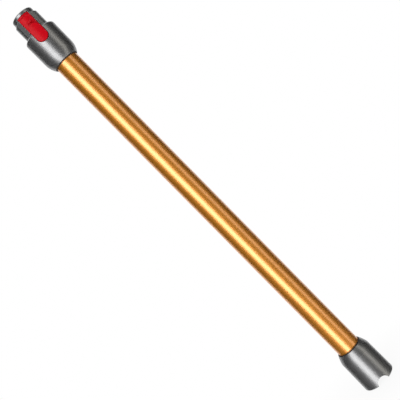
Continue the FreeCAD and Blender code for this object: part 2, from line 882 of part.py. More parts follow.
def make_pivot_pin():
    pin = doc.addObject("Part::Cylinder", "button_pivot_pin")
    pin.Label = "button_pivot_pin"
    reach = size.hub_half_width + size.lug_gap + size.lug_width
    pin.setExpression("Radius", size.pin_radius.text)
    pin.setExpression("Height", (2 * reach).text)
    pin.Placement.Rotation = Rotation(Vector(0, 1, 0), 90)
    pin.setExpression("Placement.Base.x", (-reach).text)
    pin.setExpression("Placement.Base.y", (-size.pivot_level).text)
    pin.setExpression("Placement.Base.z", pivot_z.text)
    pieces.append(pin)


def make_spring():
    """A helix between the slot floor and the roof of the thumb pad, its axis along Y."""
    stand = size.wire_radius + size.spring_seat_gap
    room = size.button_top_radius - size.pad_roof - slot_floor
    helix = doc.addObject("Part::Helix", "spring_path")
    helix.setExpression("Radius", size.spring_radius.text)
    helix.setExpression("Height", (room - 2 * stand).text)
    helix.setExpression("Pitch", ((room - 2 * stand) / size.spring_turns).text)
    section = doc.addObject("Part::Circle", "spring_section")
    section.setExpression("Radius", size.wire_radius.text)
    section.Placement.Rotation = Rotation(Vector(1, 0, 0), 90)
    section.setExpression("Placement.Base.x", size.spring_radius.text)
    spring = doc.addObject("Part::Sweep", "button_spring")
    spring.Label = "button_spring"
    spring.Sections = [section]
    spring.Spine = (helix, [])
    spring.Solid = True
    spring.Frenet = True
    spring.Placement.Rotation = Rotation(Vector(1, 0, 0), 90)
    spring.setExpression("Placement.Base.y", (-(slot_floor + stand)).text)
    spring.setExpression("Placement.Base.z", (shoulder - size.spring_drop).text)
    pieces.append(spring)


# Wiring


def make_duct():
    """A channel that lies against the inside of the tube, its roof following the tube's bore."""
    duct = Piece("cable_duct")
    outer_radius = tube_bore - size.duct_gap
    inner_half = size.duct_half_width - size.duct_wall
    duct.pad(
        "XY",
        [
            duct_outline(size.duct_half_width, size.duct_level, outer_radius),
            duct_outline(inner_half, size.duct_level + size.duct_wall, outer_radius - size.duct_wall),
        ],
        duct_end - duct_start,
        lift=duct_start,
    )


def duct_outline(half_width, level, radius):
    wall_top = chord(radius, half_width)
    return [
        Corner(-half_width, -wall_top, radius),
        Corner(half_width, -wall_top),
        Corner(half_width, -level),
        Corner(-half_width, -level),
    ]


def make_leads():
    """Two insulated wires: straight in the duct, with an S-bend to the contacts at each end."""
    for name, side in (("live_wire", "left"), ("return_wire", "right")):
        across = SIDES[side] * size.lead_spacing.value
        make_lead(name, across)


def make_lead(name, across):
    near = -size.contact_level.value
    far = -size.lead_level.value
    bottom = blade_top.value
    edges = [
        straight(across, near, bottom, lower_bend_start.value),
        *s_bend(across, near, far, lower_bend_start.value, lower_bend_end.value),
        straight(across, far, lower_bend_end.value, upper_bend_start.value),
        *s_bend(across, far, near, upper_bend_start.value, upper_bend_end.value),
        straight(across, near, upper_bend_end.value, fork_start.value),
    ]
    path = Part.Wire([edge.toShape() for edge in edges])
    section = Part.Wire(
        [Part.Circle(Vector(across, near, bottom), Vector(0, 0, 1), size.lead_radius.value).toShape()]
    )
    lead = doc.addObject("Part::Feature", name)
    lead.Label = name
    lead.Shape = path.makePipeShell([section], True, False)
    lead.Placement = Placement()
    section_area = math.pi * size.lead_radius.value**2
    if abs(lead.Shape.Volume / (section_area * path.Length) - 1) > VOLUME_TOLERANCE:
        raise RuntimeError(f"{name} is not its section times its length")
    pieces.append(lead)


def straight(across, level, start_z, end_z):
    return Part.LineSegment(Vector(across, level, start_z), Vector(across, level, end_z))


def s_bend(across, start_y, end_y, start_z, end_z):
    """Two equal tangent arcs that carry a path sideways as it runs up."""
    rise = end_z - start_z
    shift = end_y - start_y
    middle = Vector(across, (start_y + end_y) / 2, (start_z + end_z) / 2)
    bend = (rise**2 + shift**2) / (4 * abs(shift))
    half_angle = math.atan2(abs(shift), rise)
    sag_y = bend * (1 - math.cos(half_angle)) * math.copysign(1, shift)
    sag_z = bend * math.sin(half_angle)
    first = Vector(across, start_y + sag_y, start_z + sag_z)
    second = Vector(across, end_y - sag_y, end_z - sag_z)
    return [
        Part.Arc(Vector(across, start_y, start_z), first, middle),
        Part.Arc(middle, second, Vector(across, end_y, end_z)),
    ]


def make_spigot_contacts():
    carrier = Piece("spigot_contact_block")
    half = size.carrier_half_width
    body = box_outline(-half, half, carrier_start, carrier_end)
    carrier.pad("XZ", [body], carrier_top - size.carrier_bottom, lift=size.carrier_bottom)
    channel_half = size.lead_radius + size.barrel_gap + size.barrel_thickness + size.contact_gap
    channels = []
    slots = []
    slot_half = size.blade_thickness / 2 + 2 * size.contact_gap
    for sign in SIDES.values():
        middle = sign * size.lead_spacing
        channels.append(
            box_outline(middle - channel_half, middle + channel_half, carrier_start,
                        carrier_end - size.carrier_face)
        )
        slots.append(
            box_outline(middle - slot_half, middle + slot_half,
                        carrier_end - size.carrier_face, carrier_end)
        )
    carrier.pocket("XZ", channels, carrier_top, lift=size.carrier_bottom + size.carrier_floor)
    low = size.contact_level - size.contact_width / 2 - size.contact_gap
    carrier.pocket("XZ", slots, size.contact_width + 2 * size.contact_gap, lift=low)
    holes = [Ring(0, level, size.screw_radius + size.screw_gap) for level in carrier_screw_levels()]
    carrier.pocket("XZ", holes, carrier_top, lift=slot_floor - size.screw_length)
    for side, sign in SIDES.items():
        make_fork(f"{side}_fork_contact", sign)
    make_screw_group("contact_block_screws", carrier_screw_levels(), slot_floor,
                     slot_floor - size.screw_length)


def make_fork(name, sign):
    """A stamped fork that grips a blade, with a crimped barrel round the wire's end."""
    fork = Piece(name)
    middle = sign * size.lead_spacing
    base_top = fork_start + size.fork_base
    prong_end = tip - size.carrier_face - size.prong_end_inset
    outer = size.prong_gap + size.prong_thickness
    outline = [
        Corner(middle - size.fork_base_half_width, fork_start),
        Corner(middle + size.fork_base_half_width, fork_start),
        Corner(middle + size.fork_base_half_width, base_top),
        Corner(middle + outer, base_top),
        Corner(middle + outer, prong_end),
        Corner(middle + size.prong_gap, prong_end),
        Corner(middle + size.prong_gap, base_top),
        Corner(middle - size.prong_gap, base_top),
        Corner(middle - size.prong_gap, prong_end),
        Corner(middle - outer, prong_end),
        Corner(middle - outer, base_top),
        Corner(middle - size.fork_base_half_width, base_top),
    ]
    fork.pad("XZ", [outline], size.contact_width, lift=size.contact_level - size.contact_width / 2)
    add_crimp(fork, sign, fork_start - size.barrel_length)


# Seals and rings


def make_seals():
    gasket_outer = size.tube_radius + size.gasket_overhang
    ring_piece("lower_tube_gasket", plug_radius + size.ring_gap, gasket_outer, lower_seat, tube_bottom)
    ring_piece("upper_tube_gasket", plug_radius + size.ring_gap, gasket_outer, tube_top, upper_seat)
    make_collar_ring("lower_collar_ring", lower_end, 1)
    make_collar_ring("upper_collar_ring", upper_end, -1)
    seal_outer = size.nose_bore_radius - size.face_seal_gap
    ring_piece("socket_face_seal", seal_outer - size.face_seal_width, seal_outer,
               size.socket_floor - size.face_seal_height, size.socket_floor)


def make_collar_ring(name, end, outward):
    """A sleeve between tube and collar, with a flange that lies on the collar's end."""
    inner = size.tube_radius + size.ring_gap
    sleeve = collar_end_bore - size.ring_gap
    flange = collar_end_bore + size.collar_ring_flange
    back = end - outward * size.collar_ring_depth
    seat = end + outward * size.ring_gap
    face = end + outward * size.collar_ring_stand
    Piece(name).turn(
        [
            Corner(inner, back),
            Corner(sleeve, back),
            Corner(sleeve, seat),
            Corner(flange, seat),
            Corner(flange, face),
            Corner(inner, face),
        ]
    )


def write_parts():
    """Checks every object of the document and writes each piece under its own name."""
    doc.recompute()
    for item in doc.Objects:
        if "Invalid" in item.State or "Error" in item.State:
            raise RuntimeError(f"{item.Name} failed: {item.State}")
    for piece in pieces:
        if piece.Shape.isNull() or not piece.Shape.isValid():
            raise RuntimeError(f"{piece.Label} has no valid shape")
    os.makedirs("parts", exist_ok=True)
    for piece in pieces:
        piece.Shape.exportStep(f"parts/{piece.Label}.step")
        print(piece.Label, len(piece.Shape.Solids), round(piece.Shape.Volume, 1))


make_tube()
make_rivets("lower_tube_rivets", lower_rivet_z)
make_rivets("upper_tube_rivets", upper_rivet_z)
make_socket_body()
make_lower_collar()
make_socket_contacts()
make_socket_screw()
make_spigot_body()
make_upper_collar()
make_button()
make_pivot_pin()
make_spring()
make_duct()
make_leads()
make_spigot_contacts()
make_seals()
write_parts()
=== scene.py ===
"""Finishes, fine meshes and a small studio for a quick-release vacuum wand."""

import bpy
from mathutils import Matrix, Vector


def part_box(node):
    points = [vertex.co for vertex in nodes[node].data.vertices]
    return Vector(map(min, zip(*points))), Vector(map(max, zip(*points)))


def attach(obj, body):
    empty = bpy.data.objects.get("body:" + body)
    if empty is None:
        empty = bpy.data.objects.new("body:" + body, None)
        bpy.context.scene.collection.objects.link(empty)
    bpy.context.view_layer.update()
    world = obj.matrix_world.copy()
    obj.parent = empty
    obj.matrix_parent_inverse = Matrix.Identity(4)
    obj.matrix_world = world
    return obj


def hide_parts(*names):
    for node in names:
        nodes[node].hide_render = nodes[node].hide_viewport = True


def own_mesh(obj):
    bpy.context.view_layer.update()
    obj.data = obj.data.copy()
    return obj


bl_info = {
    "name": "Quick-release vacuum wand",
    "version": (1, 0, 0),
    "blender": (4, 5, 0),
    "location": "3D View > Sidebar > Wand",
    "description": "Dresses the packed wand with finishes, fine meshes and a plain studio",
    "category": "Object",
}

import math
from typing import NamedTuple

import bpy
from bpy.props import FloatProperty, FloatVectorProperty, IntProperty, PointerProperty
from mathutils import Matrix, Vector

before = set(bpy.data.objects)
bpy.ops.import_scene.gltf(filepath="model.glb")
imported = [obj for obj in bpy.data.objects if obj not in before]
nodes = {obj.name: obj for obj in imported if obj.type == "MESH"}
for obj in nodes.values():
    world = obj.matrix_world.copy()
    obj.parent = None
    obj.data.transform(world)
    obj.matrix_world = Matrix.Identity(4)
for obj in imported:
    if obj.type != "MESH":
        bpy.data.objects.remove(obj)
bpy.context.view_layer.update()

MM = 0.001

# Tube: rounding of its cut ends, radius of its rivet holes, and the drill that makes them,
# whose length is in outer radii of the tube, so that it reaches through both walls
TUBE_CORNER = 0.1 * MM
RIVET_HOLE = 1.95 * MM
DRILL_LENGTH = 3.0
DRILL_SIDES = 32

# Seals: rounding as a share of the thinner side of their section, and faces round them
SEAL_ROUNDING = 0.3
SEAL_SEGMENTS = 160

# Fineness of the rounded corners of the tube and the seals
CORNER_STEPS = 4

# Spring: radius of its wire, turns, points along the wire and sides round it
SPRING_WIRE = 0.3 * MM
SPRING_TURNS = 6.5
SPRING_POINTS = 320
SPRING_SIDES = 12

# Edges that turn by more degrees than this stay sharp
TUBE_CREASE = 30.0
ROUND_CREASE = 60.0

# Radius that the shading gives moulded edges, and the samples that find it
EDGE_ROUND = 0.35 * MM
EDGE_SAMPLES = 6

# Tones of the studio: the surround and the seen floor, the floor's paper, and the cards
WHITE = (1.0, 1.0, 1.0, 1.0)
PAPER = (0.85, 0.85, 0.85, 1.0)
CARD = (0.02, 0.02, 0.02, 1.0)

# Half the floor's side, how far its shading shows round the wand's foot, and the lamps' distance, in metres
FLOOR_HALF = 6.0
SHADE_REACH = 0.15
LAMP_REACH = 1.3

# Dark cards stand round the front and the sides, in rows with a height in metres and a half span in degrees.
# The gap that they leave at the back is wider beside the wand, and gives it its pale rims.
CARD_REACH = 1.5
CARD_STEPS = 40
CARD_ROWS = ((-1.1, 134.0), (-0.4, 134.0), (-0.3, 126.5), (0.95, 126.5), (1.05, 134.0), (2.4, 134.0))

# Width of the camera's sensor, in millimetres
SENSOR = 36.0


def ring_of(node):
    """Radii and levels of a turned node, in metres."""
    spots = [vertex.co for vertex in nodes[node].data.vertices]
    reaches = [math.hypot(spot.x, spot.y) for spot in spots]
    heights = [spot.z for spot in spots]
    return {"Inner": min(reaches), "Outer": max(reaches), "Bottom": min(heights), "Top": max(heights)}


def level_of(node):
    """Height of the middle of a node, in metres."""
    low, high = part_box(node)
    return (low.z + high.z) / 2


# Settings that a user would change


def colour(name, description, default):
    return FloatVectorProperty(
        name=name, description=description, default=default, subtype="COLOR", min=0.0, max=1.0
    )


def length(name, description, default):
    return FloatProperty(name=name, description=description, default=default, unit="LENGTH", precision=5)


def angle(name, description, default):
    return FloatProperty(
        name=name, description=description, default=math.radians(default), subtype="ANGLE"
    )


def share(name, description, default):
    return FloatProperty(
        name=name, description=description, default=default, min=0.0, max=1.0, subtype="FACTOR"
    )


def power(name, description, default):
    return FloatProperty(name=name, description=description, default=default, min=0.0, subtype="POWER")


class WandColours(bpy.types.PropertyGroup):
    """Colours of the wand's finishes."""

    tube: colour("Tube", "Dyed anodic layer of the tube", (0.888, 0.316, 0.0))
    collar: colour("Collar", "Metallic grey of the moulded end pieces", (0.288, 0.288, 0.291))
    button: colour("Button", "Red of the release button", (0.5, 0.0025, 0.009))
    carrier: colour("Carrier", "Dark plastic of the contact carriers and the duct", (0.045, 0.045, 0.05))
    steel: colour("Steel", "Pin, spring, rivets and screws", (0.62, 0.61, 0.60))
    brass: colour("Brass", "Electrical contacts", (0.78, 0.56, 0.24))
    live_wire: colour("Live wire", "Insulation of the live wire", (0.16, 0.06, 0.025))
    return_wire: colour("Return wire", "Insulation of the return wire", (0.02, 0.08, 0.34))
    rubber: colour("Rubber", "Gaskets, rings and seal", (0.018, 0.018, 0.019))


class WandFinish(bpy.types.PropertyGroup):
    """Gloss and fineness of the wand's surfaces."""

    tube_roughness: share("Tube roughness", "Blur of the tube's reflections", 0.415)
    tube_metal: share("Tube metal", "Metallic share of the tube's finish", 0.82)
    tube_coat: share("Tube coat", "Clear oxide layer over the dye", 1.0)
    coat_roughness: share("Coat roughness", "Blur of the oxide layer's reflections", 0.31)
    coat_ior: FloatProperty(
        name="Coat index", description="Refractive index of the oxide layer", default=2.15, min=1.0, max=3.0
    )
    collar_roughness: share("Collar roughness", "Blur of the collars' reflections", 0.36)
    collar_metal: share("Collar metal", "Metallic share of the collars' finish", 0.9)
    button_roughness: share("Button roughness", "Blur of the button's reflections", 0.35)
    tube_segments: IntProperty(
        name="Tube segments", description="Faces round the tube", default=192, min=24, max=512
    )


class WandStudio(bpy.types.PropertyGroup):
    """Camera, lamps and floor."""

    lens: length("Lens", "Focal length on a 36 mm sensor", 0.06116)
    distance: length("Distance", "From the camera to the aim, along the view", 0.96505)
    aim_height: length("Aim height", "Height of the picture's centre on the wand", 0.3620)
    aim_side: length("Aim side", "Picture's centre to the side of the axis", -0.0037)
    turn: angle("Turn", "Camera's turn about the wand, towards -X", 2.0)
    tilt: angle("Tilt", "Downward tilt of the view", 1.5)
    roll: angle("Roll", "Roll that lays the upright wand across the picture", 44.663)
    key_angle: angle("Key angle", "Direction of the key lamp from the front, towards -X", 25.8)
    key_power: power("Key power", "Power of the key lamp", 29.0)
    key_lean: angle("Key lean", "Lean of the key lamp, its foot towards -X", 0.2)
    key_width: length("Key width", "Width of the key lamp", 0.87)
    key_tint: colour("Key tint", "Colour of the key lamp", (1.0, 1.0, 1.0))
    side_angle: angle("Side angle", "Direction of the side lamp from the front, towards -X", -51.5)
    side_power: power("Side power", "Power of the side lamp", 5.8)
    side_lean: angle("Side lean", "Lean of the side lamp, its foot towards -X", -2.5)
    side_width: length("Side width", "Width of the side lamp", 0.47)
    side_tint: colour("Side tint", "Colour of the side lamp, warm as a cream reflector", (1.0, 0.97, 0.88))
    lamp_height: length("Lamp height", "Height of the key and side lamps", 3.0)
    lamp_level: length("Lamp level", "Height of the middle of the key and side lamps", 0.28)
    floor_shade: share("Floor shade", "How much of its shadows the white floor shows", 0.1)


# Node trees


class Socket:
    """An output socket that takes part in Python arithmetic."""

    def __init__(self, builder, socket):
        self.builder = builder
        self.socket = socket

    def maths(self, operation, *values):
        return self.builder.add("ShaderNodeMath", {"operation": operation}, dict(enumerate(values)))

    def __add__(self, other):
        return self.maths("ADD", self, other)

    def __sub__(self, other):
        return self.maths("SUBTRACT", self, other)

    def __mul__(self, other):
        return self.maths("MULTIPLY", self, other)

    def __truediv__(self, other):
        return self.maths("DIVIDE", self, other)

    def __radd__(self, other):
        return self.maths("ADD", other, self)

    def __rsub__(self, other):
        return self.maths("SUBTRACT", other, self)

    def __rmul__(self, other):
        return self.maths("MULTIPLY", other, self)

    def at_most(self, limit):
        return self.maths("MINIMUM", self, limit)

    def at_least(self, limit):
        return self.maths("MAXIMUM", self, limit)

    def cosine(self):
        return self.maths("COSINE", self)

    def sine(self):
        return self.maths("SINE", self)


class Builder:
    """Fills a node tree: one call a node, its settings first, then its values and links."""

    def __init__(self, tree):
        self.tree = tree

    def add(self, kind, settings=None, inputs=None, output=0):
        node = self.tree.nodes.new(kind)
        for name, value in (settings or {}).items():
            setattr(node, name, value)
        for key, value in (inputs or {}).items():
            self.feed(node.inputs[key], value)
        return Socket(self, node.outputs[output])

    def feed(self, socket, value):
        """Links an input to a socket or to a list of them, or sets its value."""
        if isinstance(value, Socket):
            self.tree.links.new(value.socket, socket)
        elif isinstance(value, list):
            for one in value:
                self.tree.links.new(one.socket, socket)
        else:
            socket.default_value = value


# Finishes


class Grain(NamedTuple):
    """A noise over a piece, and its relief where it has one."""

    scale: float  # cells to the metre
    detail: float  # octaves
    axes: tuple = (1.0, 1.0, 1.0)  # share of the scale along X, Y and Z
    depth: float = 0.0  # height of the relief, in metres
    strength: float = 0.0  # share of the relief that shows


DRAW_LINES = Grain(scale=300.0, detail=3.0, axes=(1.0, 1.0, 0.01))
DYE_CLOUDS = Grain(scale=22.0, detail=2.0)
PIGMENT_FLAKES = Grain(scale=2600.0, detail=2.0, depth=0.005 * MM, strength=0.4)
MOULD_FLOW = Grain(scale=45.0, detail=2.0)
BUTTON_FLOW = Grain(scale=90.0, detail=3.0, depth=0.02 * MM, strength=0.3)
EROSION_PITS = Grain(scale=1500.0, detail=3.0, depth=0.01 * MM, strength=0.35)
HANDLING_MARKS = Grain(scale=900.0, detail=4.0, axes=(1.0, 1.0, 0.25))

# Sockets of a Mix node for colours
MIX_FACTOR, MIX_LOW, MIX_HIGH, MIX_RESULT = 0, 6, 7, 2


def shade(tone, factor):
    """A darker or lighter shade of a tone, opaque."""
    return (*(min(1.0, channel * factor) for channel in tone), 1.0)


def varied(middle, width, mask):
    """A value that a mask moves over a width about its middle."""
    return middle - width / 2 + width * mask


class Finish(Builder):
    """A material with one Principled surface."""

    def __init__(self, name, constants):
        self.material = bpy.data.materials.new(name)
        self.material.use_nodes = True
        super().__init__(self.material.node_tree)
        self.surface = self.tree.nodes["Principled BSDF"]
        self.place = self.add("ShaderNodeTexCoord", output="Object")
        for label, value in constants.items():
            self.set(label, value)

    def set(self, label, value):
        self.feed(self.surface.inputs[label], value)

    def noise(self, grain):
        """Noise between 0 and 1 over the piece's own coordinates."""
        spot = self.add("ShaderNodeMapping", None, {"Vector": self.place, "Scale": grain.axes})
        inputs = {"Vector": spot, "Scale": grain.scale, "Detail": grain.detail}
        return self.add("ShaderNodeTexNoise", None, inputs)

    def shades(self, mask, tone, darkest, lightest):
        """A tone that goes from its darkest to its lightest shade with a mask."""
        return self.add(
            "ShaderNodeMix",
            {"data_type": "RGBA", "clamp_factor": True},
            {MIX_FACTOR: mask, MIX_LOW: shade(tone, darkest), MIX_HIGH: shade(tone, lightest)},
            output=MIX_RESULT,
        )

    def bump(self, height, grain):
        """A grain's relief, over edges that are softened as a mould leaves them."""
        soft = self.add("ShaderNodeBevel", {"samples": EDGE_SAMPLES}, {"Radius": EDGE_ROUND})
        inputs = {"Height": height, "Distance": grain.depth, "Strength": grain.strength, "Normal": soft}
        self.set("Normal", self.add("ShaderNodeBump", None, inputs))


def gold_finish(look, finish):
    """Drawn and anodised tube: dyed metal with faint lines along it under a clear oxide layer."""
    oxide = {
        "Metallic": finish.tube_metal,
        "Coat Weight": finish.tube_coat,
        "Coat Roughness": finish.coat_roughness,
        "Coat IOR": finish.coat_ior,
    }
    gold = Finish("anodised_gold", oxide)
    lines = gold.noise(DRAW_LINES)
    cloud = gold.noise(DYE_CLOUDS)
    gold.set("Base Color", gold.shades(cloud, look.tube, darkest=0.97, lightest=1.03))
    gold.set("Roughness", varied(finish.tube_roughness, width=0.03, mask=lines))
    return gold.material


def grey_finish(look, finish):
    """Moulded plastic with a fine metallic pigment and a satin mould texture."""
    grey = Finish("metallic_grey", {"Metallic": finish.collar_metal})
    flake = grey.noise(PIGMENT_FLAKES)
    flow = grey.noise(MOULD_FLOW)
    grey.set("Base Color", grey.shades(flake, look.collar, darkest=0.95, lightest=1.05))
    satin = varied(finish.collar_roughness, width=0.04, mask=flake)
    grey.set("Roughness", varied(satin, width=0.02, mask=flow))
    grey.bump(flake, PIGMENT_FLAKES)
    return grey.material


def red_finish(look, finish):
    """Self-coloured plastic of the release button, whose soft gloss leaves the red deep."""
    red = Finish("button_red", {"Specular IOR Level": 0.1})
    flow = red.noise(BUTTON_FLOW)
    red.set("Base Color", red.shades(flow, look.button, darkest=0.93, lightest=1.05))
    red.set("Roughness", varied(finish.button_roughness, width=0.06, mask=flow))
    red.bump(flow, BUTTON_FLOW)
    return red.material


def moulded_finish(name, tone, roughness):
    """Plain moulded plastic or rubber with a fine erosion texture."""
    plain = Finish(name, {"Specular IOR Level": 0.45})
    pits = plain.noise(EROSION_PITS)
    plain.set("Base Color", plain.shades(pits, tone, darkest=0.9, lightest=1.1))
    plain.set("Roughness", varied(roughness, width=0.1, mask=pits))
    plain.bump(pits, EROSION_PITS)
    return plain.material


def metal_finish(name, tone, roughness):
    """Bare metal with fine handling marks."""
    bare = Finish(name, {"Metallic": 1.0})
    marks = bare.noise(HANDLING_MARKS)
    bare.set("Base Color", bare.shades(marks, tone, darkest=0.9, lightest=1.06))
    bare.set("Roughness", varied(roughness, width=0.12, mask=marks))
    return bare.material


def make_finishes(look, finish):
    return {
        "gold": gold_finish(look, finish),
        "grey": grey_finish(look, finish),
        "red": red_finish(look, finish),
        "carrier": moulded_finish("dark_liner", look.carrier, roughness=0.5),
        "steel": metal_finish("bright_steel", look.steel, roughness=0.3),
        "brass": metal_finish("contact_brass", look.brass, roughness=0.3),
        "live_wire": moulded_finish("brown_insulation", look.live_wire, roughness=0.45),
        "return_wire": moulded_finish("blue_insulation", look.return_wire, roughness=0.45),
        "rubber": moulded_finish("black_rubber", look.rubber, roughness=0.65),
    }


finishes = {}


def dress(names, finish):
    """Gives CAD nodes a finish in place of their plain colour."""
    for name in names:
        node = nodes[name]
        node.data.materials.clear()
        node.data.materials.append(finishes[finish])


# Geometry trees


class Shape(Builder):
    """A geometry tree with named sizes, made into a plain mesh."""

    def __init__(self, name, **sizes):
        self.name = name
        self.sizes = sizes
        tree = bpy.data.node_groups.new(name, "GeometryNodeTree")
        super().__init__(tree)
        tree.interface.new_socket("Geometry", in_out="OUTPUT", socket_type="NodeSocketGeometry")
        self.identifiers = {}
        for key, value in sizes.items():
            kind = "NodeSocketInt" if isinstance(value, int) else "NodeSocketFloat"
            item = tree.interface.new_socket(key, in_out="INPUT", socket_type=kind)
            self.identifiers[key] = item.identifier
        self.entry = tree.nodes.new("NodeGroupInput")

    def size(self, name):
        return Socket(self, self.entry.outputs[name])

    def vector(self, x=0.0, y=0.0, z=0.0):
        return self.add("ShaderNodeCombineXYZ", None, {"X": x, "Y": y, "Z": z})

    def moved(self, geometry, place, turn=(0.0, 0.0, 0.0)):
        inputs = {"Geometry": geometry, "Translation": place, "Rotation": turn}
        return self.add("GeometryNodeTransform", None, inputs)

    def circle(self, radius, steps):
        inputs = {"Resolution": steps, "Radius": radius}
        return self.add("GeometryNodeCurvePrimitiveCircle", None, inputs)

    def ring(self):
        """A turned ring with rounded corners."""
        inner, outer = self.size("Inner"), self.size("Outer")
        bottom, top = self.size("Bottom"), self.size("Top")
        path = self.circle((inner + outer) / 2, self.size("Segments"))
        outline = self.add(
            "GeometryNodeCurvePrimitiveQuadrilateral",
            None,
            {"Width": outer - inner, "Height": top - bottom},
        )
        rounded = self.add(
            "GeometryNodeFilletCurve",
            {"mode": "POLY"},
            {"Curve": outline, "Count": CORNER_STEPS, "Radius": self.size("Corner"), "Limit Radius": True},
        )
        wall = self.add("GeometryNodeCurveToMesh", None, {"Curve": path, "Profile Curve": rounded})
        return self.moved(wall, self.vector(z=(bottom + top) / 2))

    def drilled(self, wall):
        """A wall with two levels of holes, drilled right through along X."""
        drill = self.add(
            "GeometryNodeMeshCylinder",
            None,
            {
                "Vertices": DRILL_SIDES,
                "Radius": self.size("Hole"),
                "Depth": DRILL_LENGTH * self.size("Outer"),
            },
        )
        along_x = (0.0, math.pi / 2, 0.0)
        drills = [self.moved(drill, self.vector(z=self.size(level)), along_x) for level in ("Low", "High")]
        return self.add(
            "GeometryNodeMeshBoolean",
            {"operation": "DIFFERENCE", "solver": "EXACT"},
            {"Mesh 1": wall, "Mesh 2": drills},
        )

    def coil(self):
        """A wire wound round -Y, its first and last turn closed against the next."""
        wire, turns, radius = self.size("Wire"), self.size("Turns"), self.size("Radius")
        turn = self.add("GeometryNodeSplineParameter", output="Factor") * turns
        closed_pitch = 2 * wire
        open_pitch = (self.size("Height") - 2 * closed_pitch) / (turns - 2)
        closed_turns = turn.at_most(1.0) + (turn - turns + 1).at_least(0.0)
        open_turns = (turn - 1).at_least(0.0).at_most(turns - 2)
        rise = closed_pitch * closed_turns + open_pitch * open_turns
        swing = turn * math.tau
        spot = self.vector(
            radius * swing.cosine(),
            self.size("Seat") - rise,
            self.size("Level") + radius * swing.sine(),
        )
        line = self.add("GeometryNodeCurvePrimitiveLine")
        steps = self.add("GeometryNodeResampleCurve", None, {"Curve": line, "Count": SPRING_POINTS})
        path = self.add("GeometryNodeSetPosition", None, {"Geometry": steps, "Position": spot})
        section = self.circle(wire, SPRING_SIDES)
        return self.add(
            "GeometryNodeCurveToMesh", None, {"Curve": path, "Profile Curve": section, "Fill Caps": True}
        )

    def finished(self, geometry, finish, crease):
        """Ends the tree and returns its result as an object with a mesh of its own."""
        whole = self.add("GeometryNodeRealizeInstances", None, {"Geometry": geometry})
        dressed = self.add(
            "GeometryNodeSetMaterial", None, {"Geometry": whole, "Material": finishes[finish]}
        )
        exit_node = self.tree.nodes.new("NodeGroupOutput")
        self.tree.links.new(dressed.socket, exit_node.inputs[0])
        holder = bpy.data.objects.new(self.name, bpy.data.meshes.new(f"{self.name}_empty"))
        bpy.context.scene.collection.objects.link(holder)
        modifier = holder.modifiers.new("Shape", "NODES")
        modifier.node_group = self.tree
        for key, value in self.sizes.items():
            modifier[self.identifiers[key]] = value
        bpy.context.view_layer.update()
        seen = holder.evaluated_get(bpy.context.evaluated_depsgraph_get())
        mesh = bpy.data.meshes.new_from_object(seen)
        holder.modifiers.clear()
        holder.data = mesh
        mesh.name = self.name
        if not mesh.polygons:
            raise RuntimeError(f"{self.name} has no faces")
        mesh.set_sharp_from_angle(angle=math.radians(crease))
        return holder


def stands_for(piece, node):
    """Lets a piece ride on the wand in place of a CAD node."""
    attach(piece, "wand")
    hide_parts(node)


# Pieces


class WAND_OT_finishes(bpy.types.Operator):
    """Make the finishes that the pieces share"""

    bl_idname = "wand.finishes"
    bl_label = "Finishes"

    def execute(self, context):
        finishes.update(make_finishes(context.scene.wand_colours, context.scene.wand_finish))
        return {"FINISHED"}


class WAND_OT_tube(bpy.types.Operator):
    """Turn the long anodised tube, with its rivet holes"""

    bl_idname = "wand.tube"
    bl_label = "Tube"

    def execute(self, context):
        tree = Shape(
            "drawn_tube",
            **ring_of("wand_tube"),
            Corner=TUBE_CORNER,
            Segments=context.scene.wand_finish.tube_segments,
            Hole=RIVET_HOLE,
            Low=level_of("lower_tube_rivets"),
            High=level_of("upper_tube_rivets"),
        )
        tube = tree.finished(tree.drilled(tree.ring()), "gold", TUBE_CREASE)
        stands_for(tube, "wand_tube")
        return {"FINISHED"}


class WAND_OT_collars(bpy.types.Operator):
    """Dress the two moulded collars and the spigot in metallic grey"""

    bl_idname = "wand.collars"
    bl_label = "Collars and spigot"

    def execute(self, context):
        dress(("upper_collar", "lower_collar", "spigot_body"), "grey")
        return {"FINISHED"}


class WAND_OT_socket(bpy.types.Operator):
    """Dress the socket's liner in the collars' grey"""

    bl_idname = "wand.socket"
    bl_label = "Socket liner"

    def execute(self, context):
        dress(("socket_body",), "grey")
        return {"FINISHED"}


class WAND_OT_button(bpy.types.Operator):
    """Dress the release button"""

    bl_idname = "wand.button"
    bl_label = "Release button"

    def execute(self, context):
        dress(("release_button",), "red")
        return {"FINISHED"}


class WAND_OT_contacts(bpy.types.Operator):
    """Dress the contact carriers, the contacts, the wires and their duct"""

    bl_idname = "wand.contacts"
    bl_label = "Contacts and wires"

    def execute(self, context):
        dress(("cable_duct", "spigot_contact_block", "socket_contact_block"), "carrier")
        for side in ("left", "right"):
            dress((f"{side}_fork_contact", f"{side}_blade_contact"), "brass")
        dress(("live_wire",), "live_wire")
        dress(("return_wire",), "return_wire")
        return {"FINISHED"}


class WAND_OT_seals(bpy.types.Operator):
    """Dress the collars' rings, and turn the gaskets and the face seal with rounded edges"""

    bl_idname = "wand.seals"
    bl_label = "Seals"

    def execute(self, context):
        dress(("upper_collar_ring", "lower_collar_ring"), "rubber")
        for name in ("upper_tube_gasket", "lower_tube_gasket", "socket_face_seal"):
            sizes = ring_of(name)
            thinner_side = min(sizes["Outer"] - sizes["Inner"], sizes["Top"] - sizes["Bottom"])
            tree = Shape(
                f"rubber_{name}", **sizes, Corner=SEAL_ROUNDING * thinner_side, Segments=SEAL_SEGMENTS
            )
            stands_for(tree.finished(tree.ring(), "rubber", ROUND_CREASE), name)
        return {"FINISHED"}


